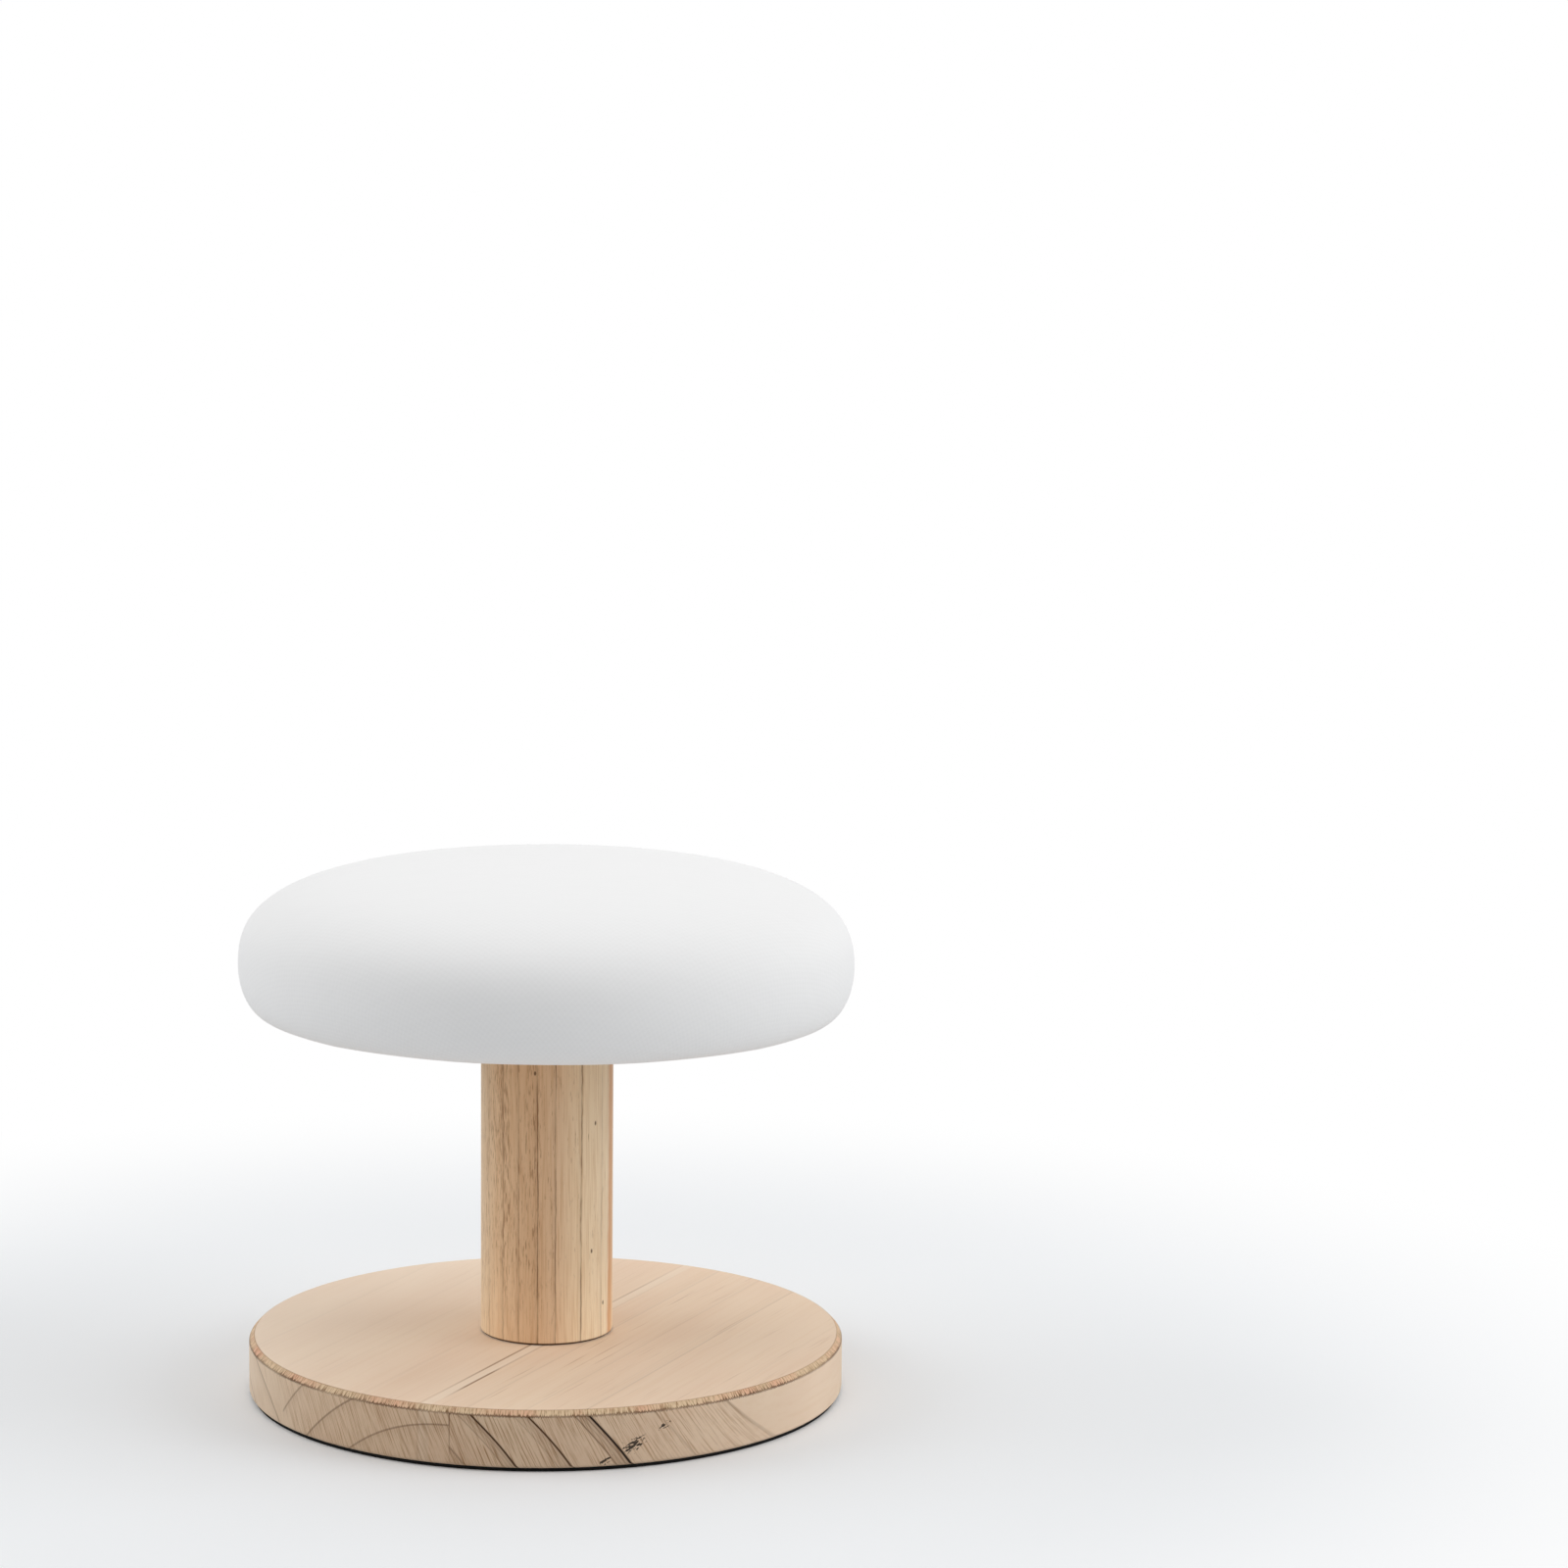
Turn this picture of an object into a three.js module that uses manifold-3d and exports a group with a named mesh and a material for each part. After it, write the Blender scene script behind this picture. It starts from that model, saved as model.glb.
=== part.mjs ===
// Tabletop ironing board: a round padded pressing top on a wooden post and a round wooden base.
// Millimetres, +Z up. The origin is on the surface that it stands on, on the post's axis.
import * as THREE from "three";
import { mergeVertices } from "three/addons/utils/BufferGeometryUtils.js";
import Module from "manifold-3d";

const wasm = await Module();
wasm.setup();

// Non-slip sheet and base
const SHEET_THICKNESS = 1;
const SHEET_INSET = 1; // the sheet stops short of the base's edge
const BASE_DIAMETER = 160;
const BASE_THICKNESS = 15;
const BASE_CHAMFER = 1.4; // top rim
const BASE_ARRIS = 0.6; // lower rim, only eased

// Post
const POST_DIAMETER = 35.5;
const POST_HEIGHT = 89.5; // from the base to the top board
const POST_ARRIS = 0.5;

// Padded top, outside the cover. Its widest ring is the equator.
const TOP_DIAMETER = 164.6;
const EDGE_DEPTH = 6.8; // lower edge, from the flat underside out to the equator
const EDGE_HEIGHT = 12.6; // and up to the equator
const CROWN_RISE = 26.7; // from the equator to the middle of the crown
const SHOULDER_PULL = 18.7; // how far up the side holds out before the shoulder turns in
const CROWN_PULL = 66.8; // how far out from the axis the crown stays level

// Layers of the padded top
const BOARD_THICKNESS = 9;
const WADDING_THICKNESS = 2.5;
const WADDING_TRIM = 2; // the wadding ends this far above the board's underside
const COVER_THICKNESS = 0.9;
const LAYER_GAP = 0.3; // between layers that lie on each other

// Hem of the cover, folded once and stapled under the board
const HEM_WIDTH = 14;
const HEM_SETBACK = 10; // from the lower edge's turn to the hem's outer edge
const STAPLE_COUNT = 12;
const PLEAT_DEPTH = 1.2; // the spare cloth bulges this far down between two staples

// Staples
const STAPLE_CROWN = 10;
const STAPLE_BITE = 4; // into the board
const STAPLE_WIRE = 1;
const STAPLE_CLEARANCE = 0.2;

// Wood screws, three at each end of the post
const SCREW_COUNT = 3;
const SCREW_DIAMETER = 4;
const SCREW_HEAD_FLARE = 1.9; // the countersunk head stands out this far round the shank
const SCREW_HEAD_RIM = 0.5;
const SCREW_HEAD_RECESS = 0.5; // head below the wood's face
const SCREW_BITE = 26; // into the post
const SCREW_POINT = 5;
const SCREW_TIP_DIAMETER = 0.8;
const SCREW_TO_POST_EDGE = 7.5; // from a screw's axis to the post's side
const SCREW_CLEARANCE = 0.2;
const DRIVE_SPAN = 4; // cross recess
const DRIVE_WIDTH = 0.9;
const DRIVE_DEPTH = 1.4;

// Facets
const ROUND_SIDES = 96;
const POST_SIDES = 64;
const LAYER_SIDES = 48;
const SCREW_SIDES = 16;
const EDGE_STEPS = 3;
const CROWN_STEPS = 6;

// Heights that follow from the sizes above
const baseBottom = SHEET_THICKNESS;
const baseTop = baseBottom + BASE_THICKNESS;
const boardBottom = baseTop + POST_HEIGHT;
const boardTop = boardBottom + BOARD_THICKNESS;
const hemTop = boardBottom - LAYER_GAP;
const underside = hemTop - COVER_THICKNESS;
const equator = underside + EDGE_HEIGHT;
const topRadius = TOP_DIAMETER / 2;
const hemOuter = topRadius - EDGE_DEPTH - HEM_SETBACK;
const hemInner = hemOuter - HEM_WIDTH;
const hemBottom = hemTop - 2 * COVER_THICKNESS;

// A closed body from a profile of [radius, height] pairs turned about Z.
function revolve(profile, sides) {
  const points = profile.map(([radius, height]) => new THREE.Vector2(radius, height));
  return new THREE.LatheGeometry(points, sides).rotateX(Math.PI / 2);
}

// A geometry as a solid for the boolean operations.
function solid(geometry) {
  const bare = new THREE.BufferGeometry();
  bare.setAttribute("position", geometry.getAttribute("position"));
  bare.setIndex(geometry.index);
  const merged = mergeVertices(bare);
  return new wasm.Manifold(
    new wasm.Mesh({
      numProp: 3,
      vertProperties: merged.getAttribute("position").array,
      triVerts: new Uint32Array(merged.index.array),
    }),
  );
}

// A solid back as a geometry.
function geometryOf(body) {
  const { vertProperties, triVerts, numProp } = body.getMesh();
  const geometry = new THREE.BufferGeometry();
  geometry.setAttribute("position", new THREE.BufferAttribute(new Float32Array(vertProperties), numProp));
  geometry.setIndex(new THREE.BufferAttribute(new Uint32Array(triVerts), 1));
  geometry.computeVertexNormals();
  return geometry;
}

function cut(geometry, cutters) {
  const body = cutters.reduce((rest, cutter) => rest.subtract(solid(cutter)), solid(geometry));
  return geometryOf(body);
}

// Turns of a pattern about Z, in radians.
function turns(count, first = 0) {
  return Array.from({ length: count }, (_, i) => first + (2 * Math.PI * i) / count);
}

// Section of the padded top, inset by a layer depth, from the lowest height wanted up to the axis.
// The lower edge is a quarter ellipse and the crown a curve that leaves the equator upright
// and meets the axis level. The layers share the ellipse's centre, so they nest.
function topSection(inset, insetBelow, lowest) {
  const radius = topRadius - inset;
  const edgeDepth = EDGE_DEPTH - inset;
  const edgeHeight = EDGE_HEIGHT - insetBelow;
  const rise = CROWN_RISE - inset;
  const drop = Math.asin(Math.min(1, (equator - lowest) / edgeHeight));
  const edge = new THREE.EllipseCurve(radius - edgeDepth, equator, edgeDepth, edgeHeight, -drop, 0);
  const crown = new THREE.CubicBezierCurve(
    new THREE.Vector2(radius, equator),
    new THREE.Vector2(radius, equator + (SHOULDER_PULL * rise) / CROWN_RISE),
    new THREE.Vector2((CROWN_PULL * radius) / topRadius, equator + rise),
    new THREE.Vector2(0, equator + rise),
  );
  const points = [...edge.getPoints(EDGE_STEPS), ...crown.getPoints(CROWN_STEPS).slice(1)];
  return points.map((point) => [point.x, point.y]);
}

// Wood screw along +Z with its head's face at height 0. Grown by a clearance it cuts its own hole.
function screwProfile(length, clearance, headOverrun) {
  const shank = SCREW_DIAMETER / 2 + clearance;
  const head = shank + SCREW_HEAD_FLARE;
  return [
    [0, -headOverrun],
    [head, -headOverrun],
    [head, SCREW_HEAD_RIM],
    [shank, SCREW_HEAD_RIM + SCREW_HEAD_FLARE],
    [shank, length - SCREW_POINT],
    [SCREW_TIP_DIAMETER / 2 + clearance, length + clearance],
    [0, length + clearance],
  ];
}

// The screws of one end of the post, and the bodies that cut their holes.
// The heads lie in a board of the given thickness, and place turns and lifts a screw to that board.
function screwSet(boardThickness, firstTurn, place) {
  const length = boardThickness - SCREW_HEAD_RECESS + SCREW_BITE;
  const circle = POST_DIAMETER / 2 - SCREW_TO_POST_EDGE;
  const driveSlot = new THREE.BoxGeometry(DRIVE_SPAN, DRIVE_WIDTH, 2 * DRIVE_DEPTH);
  const drive = [driveSlot, driveSlot.clone().rotateZ(Math.PI / 2)];
  const screw = cut(revolve(screwProfile(length, 0, 0), SCREW_SIDES), drive);
  const hole = revolve(screwProfile(length, SCREW_CLEARANCE, 2 * SCREW_HEAD_RECESS), SCREW_SIDES);
  const pattern = (geometry) =>
    turns(SCREW_COUNT, firstTurn).map((turn) =>
      place(geometry.clone()).translate(circle * Math.cos(turn), circle * Math.sin(turn), 0),
    );
  return { screws: pattern(screw), holes: pattern(hole) };
}

const baseScrews = screwSet(BASE_THICKNESS, Math.PI / 2, (geometry) =>
  geometry.translate(0, 0, baseBottom + SCREW_HEAD_RECESS),
);
const topScrews = screwSet(BOARD_THICKNESS, -Math.PI / 2, (geometry) =>
  geometry.rotateX(Math.PI).translate(0, 0, boardTop - SCREW_HEAD_RECESS),
);

// Staple with its crown along X just under the hem and its legs up into the board,
// grown by a clearance to cut its own slots.
function staple(clearance) {
  const half = STAPLE_CROWN / 2 + clearance;
  const wire = STAPLE_WIRE + 2 * clearance;
  const crownTop = hemBottom - LAYER_GAP;
  const crownBottom = crownTop - STAPLE_WIRE;
  const legTop = boardBottom + STAPLE_BITE + clearance;
  const outline = new THREE.Shape();
  outline.moveTo(-half, crownBottom);
  outline.lineTo(half, crownBottom);
  outline.lineTo(half, legTop);
  outline.lineTo(half - wire, legTop);
  outline.lineTo(half - wire, crownTop);
  outline.lineTo(wire - half, crownTop);
  outline.lineTo(wire - half, legTop);
  outline.lineTo(-half, legTop);
  outline.closePath();
  const body = new THREE.ExtrudeGeometry(outline, { depth: wire, bevelEnabled: false });
  return body.rotateX(Math.PI / 2).translate(0, wire / 2 - (hemInner + hemOuter) / 2, 0);
}

const stapleTurns = turns(STAPLE_COUNT);
const stapleSlots = stapleTurns.map((turn) => staple(STAPLE_CLEARANCE).rotateZ(turn));

function nonSlipSheet() {
  const radius = BASE_DIAMETER / 2 - SHEET_INSET;
  const profile = [
    [0, 0],
    [radius, 0],
    [radius, SHEET_THICKNESS],
    [0, SHEET_THICKNESS],
  ];
  return revolve(profile, ROUND_SIDES);
}

function baseBoard() {
  const radius = BASE_DIAMETER / 2;
  const profile = [
    [0, baseBottom],
    [radius - BASE_ARRIS, baseBottom],
    [radius, baseBottom + BASE_ARRIS],
    [radius, baseTop - BASE_CHAMFER],
    [radius - BASE_CHAMFER, baseTop],
    [0, baseTop],
  ];
  return cut(revolve(profile, ROUND_SIDES), baseScrews.holes);
}

function post() {
  const radius = POST_DIAMETER / 2;
  const profile = [
    [0, baseTop],
    [radius - POST_ARRIS, baseTop],
    [radius, baseTop + POST_ARRIS],
    [radius, boardBottom - POST_ARRIS],
    [radius - POST_ARRIS, boardBottom],
    [0, boardBottom],
  ];
  return cut(revolve(profile, POST_SIDES), [...baseScrews.holes, ...topScrews.holes]);
}

// The board and the foam are one domed body, parted at the board's upper face.
const coreInset = COVER_THICKNESS + WADDING_THICKNESS + 2 * LAYER_GAP;
const coreInsetBelow = COVER_THICKNESS + LAYER_GAP;

function core() {
  const section = topSection(coreInset, coreInsetBelow, boardBottom);
  return solid(revolve([[0, boardBottom], ...section], LAYER_SIDES));
}

function topBoard() {
  const [, board] = core().splitByPlane([0, 0, 1], boardTop);
  return cut(geometryOf(board), [...topScrews.holes, ...stapleSlots]);
}

function foamPad() {
  const [foam] = core().splitByPlane([0, 0, 1], boardTop);
  return geometryOf(foam);
}

function wadding() {
  const outerInset = COVER_THICKNESS + LAYER_GAP;
  const innerInset = outerInset + WADDING_THICKNESS;
  const lowest = boardBottom + WADDING_TRIM;
  const outer = topSection(outerInset, coreInsetBelow, lowest);
  const inner = topSection(innerInset, coreInsetBelow, lowest);
  return revolve([...inner.reverse(), ...outer], LAYER_SIDES);
}

// How far the spare cloth hangs at a point of the underside: nothing at the lower edge's turn,
// full at the hem, and only between the staples.
function pleatDrop(x, y) {
  const turn = Math.atan2(y, x) + Math.PI / 2;
  const between = ((1 - Math.cos(STAPLE_COUNT * turn)) / 2) ** 3;
  const inward = (topRadius - EDGE_DEPTH - Math.hypot(x, y)) / HEM_SETBACK;
  return PLEAT_DEPTH * between * THREE.MathUtils.clamp(inward, 0, 1);
}

function cover() {
  const outer = topSection(0, 0, underside);
  const inner = topSection(COVER_THICKNESS, COVER_THICKNESS, hemTop);
  const hem = [
    [hemInner, hemTop],
    [hemInner, hemBottom],
    [hemOuter, hemBottom],
    [hemOuter + COVER_THICKNESS, underside],
  ];
  const shell = revolve([...inner.reverse(), ...hem, ...outer], LAYER_SIDES);
  const at = shell.getAttribute("position");
  for (let i = 0; i < at.count; i += 1) {
    if (at.getZ(i) < equator) {
      at.setZ(i, at.getZ(i) - pleatDrop(at.getX(i), at.getY(i)));
    }
  }
  return cut(shell, stapleSlots);
}

const pine = { color: 0xd8bd94, roughness: 0.6 };
const dowelPine = { color: 0xc8a678, roughness: 0.6 };
const plywood = { color: 0xd9c39c, roughness: 0.7 };
const blackRubber = { color: 0x171717, roughness: 0.9 };
const cottonCanvas = { color: 0xf2f1ec, roughness: 0.9 };
const foam = { color: 0xe9dfb8, roughness: 0.95 };
const cottonFelt = { color: 0xe6e2d8, roughness: 0.95 };
const zincSteel = { color: 0xb9bcc0, roughness: 0.35, metalness: 1 };

const stand = new THREE.Group();

function add(name, geometry, finish) {
  const mesh = new THREE.Mesh(geometry, new THREE.MeshStandardMaterial(finish));
  mesh.name = name;
  stand.add(mesh);
}

add("non_slip_pad", nonSlipSheet(), blackRubber);
add("base_board", baseBoard(), pine);
add("post", post(), dowelPine);
baseScrews.screws.forEach((screw, i) => add(`base_screw_${i + 1}`, screw, zincSteel));
add("top_board", topBoard(), plywood);
topScrews.screws.forEach((screw, i) => add(`top_screw_${i + 1}`, screw, zincSteel));
add("foam_pad", foamPad(), foam);
add("wadding", wadding(), cottonFelt);
add("cover", cover(), cottonCanvas);
stapleTurns.forEach((turn, i) => {
  const name = `staple_${String(i + 1).padStart(2, "0")}`;
  add(name, staple(0).rotateZ(turn), zincSteel);
});

export default stand;
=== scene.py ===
"""The looks of a tabletop ironing board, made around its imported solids.

A domed pressing top, padded and covered in white cotton, stands on a round wooden post and a round
base of edge-glued pine with a black non-slip sheet under it. Sizes are in millimetres unless a
comment says otherwise, and MM turns them into the frame's metres.
"""
import math
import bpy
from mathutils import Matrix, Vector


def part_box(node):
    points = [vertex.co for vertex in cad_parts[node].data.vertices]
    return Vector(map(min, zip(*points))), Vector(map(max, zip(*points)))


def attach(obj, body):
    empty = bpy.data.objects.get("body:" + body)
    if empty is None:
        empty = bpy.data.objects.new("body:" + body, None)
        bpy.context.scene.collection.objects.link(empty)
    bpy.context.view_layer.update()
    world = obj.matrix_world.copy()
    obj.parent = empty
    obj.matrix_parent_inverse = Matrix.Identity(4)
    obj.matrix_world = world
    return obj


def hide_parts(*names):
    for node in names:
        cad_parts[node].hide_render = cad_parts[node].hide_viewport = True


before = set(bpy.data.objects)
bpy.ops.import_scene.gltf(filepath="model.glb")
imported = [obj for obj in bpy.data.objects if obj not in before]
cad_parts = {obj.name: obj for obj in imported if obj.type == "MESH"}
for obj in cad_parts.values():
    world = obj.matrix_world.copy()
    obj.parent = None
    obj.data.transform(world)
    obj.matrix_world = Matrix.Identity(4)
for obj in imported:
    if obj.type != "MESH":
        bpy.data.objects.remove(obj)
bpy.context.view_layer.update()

from types import SimpleNamespace

import bmesh
import bpy
import numpy as np
from mathutils import Quaternion, Vector

MM = 0.001


def round_size(node):
    """Radius, lowest and highest height of a round solid of the frame."""
    low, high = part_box(node)
    return high.x / MM, low.z / MM, high.z / MM


SHEET_RADIUS, SHEET_BOTTOM, SHEET_TOP = round_size("non_slip_pad")
BASE_RADIUS, BASE_BOTTOM, BASE_TOP = round_size("base_board")
POST_RADIUS, POST_BOTTOM, POST_TOP = round_size("post")
COVER_RADIUS, _, COVER_TOP = round_size("cover")
_, BOARD_BOTTOM, BOARD_TOP = round_size("top_board")

# Edges of the turned wood and of the sheet under it
BASE_CHAMFER = 1.4
BASE_ARRIS = 0.6
BASE_EASE = 0.3  # sanding takes this much off each sharp corner
POST_ARRIS = 0.5
POST_EASE = 0.15
SHEET_EASE = 0.2
RIM_WANDER = 0.1  # the router leaves the chamfer's two corners this uneven

# Facets round each piece, and steps along the padding's sections
BASE_SIDES = 720  # enough for the wander of its rim
POST_SIDES = 256
SHEET_SIDES = 256
PADDING_SIDES = 160
CROWN_STEPS = 40
FOAM_EDGE_STEPS = 6
WADDING_EDGE_STEPS = 8
CROWN_POINTS = 200  # of the fine curves that these steps are picked from
EDGE_POINTS = 60
FOLD_POINTS = 9
POLE_SIZE = 1e-7  # points closer together than this, in metres, become one

# Section of the padded top
EDGE_DEPTH = 6.8
EDGE_HEIGHT = 12.6
CROWN_RISE = 26.7
SHOULDER_PULL = 18.7
CROWN_PULL = 66.8
EQUATOR = COVER_TOP - CROWN_RISE
UNDERSIDE = EQUATOR - EDGE_HEIGHT

# Layers of the padded top and the hem under it
COVER_THICKNESS = 0.9
COVER_DRAWN = 0.9  # share of its thickness that the cloth keeps when it is drawn tight
WADDING_THICKNESS = 2.5
WADDING_TRIM = 2
LAYER_GAP = 0.3
HEM_WIDTH = 14
HEM_SETBACK = 10
HEM_OUTER = COVER_RADIUS - EDGE_DEPTH - HEM_SETBACK
HEM_INNER = HEM_OUTER - HEM_WIDTH
HEM_TOP = BOARD_BOTTOM - LAYER_GAP
HEM_BOTTOM = HEM_TOP - 2 * COVER_THICKNESS
HEM_LEAD = 1.4  # the cloth starts down to the hem's lower face this far outside the hem
HEM_LAP = 0.4  # and reaches it this far inside
HEM_TUCK = 1  # its turned end stops this far short of the hem's outer edge

# Staples, and the folds between them
STAPLE_COUNT = 12
FIRST_STAPLE = -math.pi / 2  # at the front
STAPLE_CROWN = 10
STAPLE_WIRE = 1
STAPLE_BITE = 4
STAPLE_BEND = 0.9  # radius of a corner at the wire's middle
STAPLE_SIDES = 16  # facets round the wire
STAPLE_SQUARE = 6  # the power that makes the wire's section a rounded square
BEND_POINTS = 7  # round a corner
LEG_STEPS = 4
PLEAT_DEPTH = 1.2
GATHER_DEPTH = 0.55  # small folds on each pleat
GATHERS = 5  # small folds between two staples
GATHER_SWAY = 6  # how far they stray from an even row, in radians of their wave
SWAY_PLACES = 64  # round the hem

# The cover is drawn on by hand, so it sits a little unevenly
EDGE_SAG = 0.8  # its lower edge hangs this much lower on the right
EDGE_LIFT = 0.35  # and is drawn this much higher on the left
SHOULDER_FULL = 0.7  # the padding stands out this much more on the left shoulder

# Padding's push on the cover. The cloth starts a little too small and swells to size.
START_INSET = 0.2
START_DROP = 0.7  # of the crown, besides the inset
SWELL_LIMIT = 1.1
CLOTH_FRAMES = 20
PADDING_PRESSURE = 40
FOAM_STIFFNESS = 0.5
FOAM_SPREAD = 8  # passes that even out the swell, as springy foam does
COTTON = {
    "quality": 6,
    "mass": 0.3,
    "tension_stiffness": 0.3,
    "compression_stiffness": 0.3,
    "shear_stiffness": 0.1,
    "bending_stiffness": 0.5,
}
# How firmly the cloth is held, up to 1
FOAM_GRIP = 0.2  # by the foam under it
HEM_GRIP = 0.55  # at the hem, between two staples
STAPLE_GRIP = 0.45  # at a staple, besides the hem's
EDGE_GRIP = 0.25  # in line with a staple, out to the lower edge

# Camera, fitted to the photograph's outlines
SENSOR = 36
LENS = 101.25
EYE = Vector((0, -1163.0, 331.4)) * MM
AIM = Vector((62.9, 0, 165.0)) * MM
ROLL = math.radians(0.573)
CLIP = (0.05, 50)  # nearest and furthest place in view, in metres


def make_camera():
    """The camera at the photograph's viewing angle."""
    data = bpy.data.cameras.new("camera")
    data.lens = LENS
    data.sensor_width = SENSOR
    data.clip_start, data.clip_end = CLIP
    camera = bpy.data.objects.new("camera", data)
    camera.location = EYE
    camera.rotation_mode = "QUATERNION"
    camera.rotation_quaternion = (AIM - EYE).to_track_quat("-Z", "Y") @ Quaternion((0, 0, 1), ROLL)
    bpy.context.scene.collection.objects.link(camera)
    bpy.context.scene.camera = camera


make_camera()


def show(name, mesh):
    """A smooth-shaded object of that mesh, at the origin."""
    mesh.polygons.foreach_set("use_smooth", np.ones(len(mesh.polygons), bool))
    piece = bpy.data.objects.new(name, mesh)
    bpy.context.scene.collection.objects.link(piece)
    return piece


def skin(name, grid):
    """A closed body over a grid of points that runs round once along its columns.

    Each cell of four neighbours is one face, the last column joins the first, and a row whose
    points all lie together becomes one pole.
    """
    rows, columns = grid.shape[:2]
    index = np.arange(rows * columns).reshape(rows, columns)
    index = np.hstack([index, index[:, :1]])
    cells = np.stack([index[:-1, :-1], index[:-1, 1:], index[1:, 1:], index[1:, :-1]], axis=-1)
    mesh = bpy.data.meshes.new(name)
    mesh.from_pydata((grid.reshape(-1, 3) * MM).tolist(), [], cells.reshape(-1, 4).tolist())
    body = bmesh.new()
    body.from_mesh(mesh)
    bmesh.ops.remove_doubles(body, verts=body.verts, dist=POLE_SIZE)
    bmesh.ops.recalc_face_normals(body, faces=body.faces)
    body.to_mesh(mesh)
    body.free()
    return show(name, mesh)


def revolve(section, sides):
    """Grid of a body turned about Z: (radius, height) at turn a is (radius cos a, radius sin a, height)."""
    turn = np.linspace(0, 2 * np.pi, sides, endpoint=False)
    radius, height = section.T
    x = np.outer(radius, np.cos(turn))
    y = np.outer(radius, np.sin(turn))
    return np.stack([x, y, np.outer(height, np.ones(sides))], axis=-1)


def eased(corners, ease, steps=5):
    """An outline whose inner corners are rounded.

    Each corner P becomes the curve (1-t)^2 S + 2t(1-t) P + t^2 E, where S and E lie one ease before
    and after it. A guard point on each side keeps the shading of the flat stretch flat.
    """
    corners = np.asarray(corners, float)
    t = np.linspace(0, 1, steps)[:, None]
    outline = [corners[:1]]
    for before, corner, after in zip(corners[:-2], corners[1:-1], corners[2:]):
        back = (before - corner) / np.linalg.norm(before - corner)
        ahead = (after - corner) / np.linalg.norm(after - corner)
        start = corner + back * ease
        end = corner + ahead * ease
        curve = (1 - t) ** 2 * start + 2 * t * (1 - t) * corner + t**2 * end
        outline += [start[None] + back * ease / 2, curve, end[None] + ahead * ease / 2]
    return np.vstack([*outline, corners[-1:]])


def lengths(points):
    """How far along a line each of its points lies."""
    return np.concatenate([[0], np.cumsum(np.linalg.norm(np.diff(points, axis=0), axis=1))])


def even_steps(points, count):
    """The same line with count equal steps along its length."""
    length = lengths(points)
    along = np.linspace(0, length[-1], count + 1)
    return np.stack([np.interp(along, length, column) for column in points.T], axis=-1)


def smooth_random(count, seed, reach):
    """A closed row of random numbers about 0, each the mean of its neighbours within reach."""
    rough = np.random.default_rng(seed).normal(size=count)
    window = np.exp(-(np.arange(count) - count // 2) ** 2 / (2 * reach**2))
    return np.real(np.fft.ifft(np.fft.fft(rough) * np.fft.fft(np.fft.ifftshift(window / window.sum()))))


def make_grip_sheet():
    """Black sheet under the base, a disc with eased edges."""
    corners = [(0, SHEET_BOTTOM), (SHEET_RADIUS, SHEET_BOTTOM), (SHEET_RADIUS, SHEET_TOP), (0, SHEET_TOP)]
    return skin("grip_sheet", revolve(eased(corners, SHEET_EASE), SHEET_SIDES))


def make_base_wood():
    """Round base with a chamfered rim.

    The chamfer's two corners wander inwards as they go round: the section's points move by a smooth
    random row times exp(-d^2 / 2e^2), where d is a point's distance from the corner and e is the ease.
    """
    chamfer_low = (BASE_RADIUS, BASE_TOP - BASE_CHAMFER)
    chamfer_high = (BASE_RADIUS - BASE_CHAMFER, BASE_TOP)
    corners = [
        (0, BASE_BOTTOM),
        (BASE_RADIUS - BASE_ARRIS, BASE_BOTTOM),
        (BASE_RADIUS, BASE_BOTTOM + BASE_ARRIS),
        chamfer_low,
        chamfer_high,
        (0, BASE_TOP),
    ]
    section = eased(corners, BASE_EASE)
    grid = revolve(section, BASE_SIDES)
    wander = np.zeros(grid.shape[:2])
    for corner, seed, reach in ((chamfer_low, 3, 2), (chamfer_high, 4, 3)):
        near = np.exp(-np.sum((section - corner) ** 2, axis=1) / (2 * BASE_EASE**2))
        wander += np.outer(near, smooth_random(BASE_SIDES, seed, reach))
    grid[..., :2] *= 1 - RIM_WANDER * np.abs(wander)[..., None] / BASE_RADIUS
    return skin("base_wood", grid)


def make_post_wood():
    """Round post with eased ends."""
    corners = [
        (0, POST_BOTTOM),
        (POST_RADIUS - POST_ARRIS, POST_BOTTOM),
        (POST_RADIUS, POST_BOTTOM + POST_ARRIS),
        (POST_RADIUS, POST_TOP - POST_ARRIS),
        (POST_RADIUS - POST_ARRIS, POST_TOP),
        (0, POST_TOP),
    ]
    return skin("post_wood", revolve(eased(corners, POST_EASE), POST_SIDES))


def top_section(inset, inset_below, lowest, drop=0):
    """Section of the padded top from the middle of the crown out and down to a height, inset by a layer.

    The crown is the cubic curve (1-t)^3 A + 3(1-t)^2 t B + 3(1-t) t^2 C + t^3 D, level at the axis and
    upright at the equator, and lowered by a drop. The lower edge is part of an ellipse below it.
    """
    radius = COVER_RADIUS - inset
    rise = CROWN_RISE - inset - drop
    crown_pull = CROWN_PULL * radius / COVER_RADIUS
    shoulder_pull = SHOULDER_PULL * rise / CROWN_RISE
    corners = np.array([(0, rise), (crown_pull, rise), (radius, shoulder_pull), (radius, 0)])
    t = np.linspace(0, 1, CROWN_POINTS)[:, None]
    crown = np.hstack([(1 - t) ** 3, 3 * (1 - t) ** 2 * t, 3 * (1 - t) * t**2, t**3]) @ corners
    depth = EDGE_DEPTH - inset
    height = EDGE_HEIGHT - inset_below
    turn = np.linspace(0, math.asin(min(1, (EQUATOR - lowest) / height)), EDGE_POINTS)
    edge = np.stack([radius - depth + depth * np.cos(turn), -height * np.sin(turn)], axis=-1)
    return crown + (0, EQUATOR), edge + (0, EQUATOR)


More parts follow.
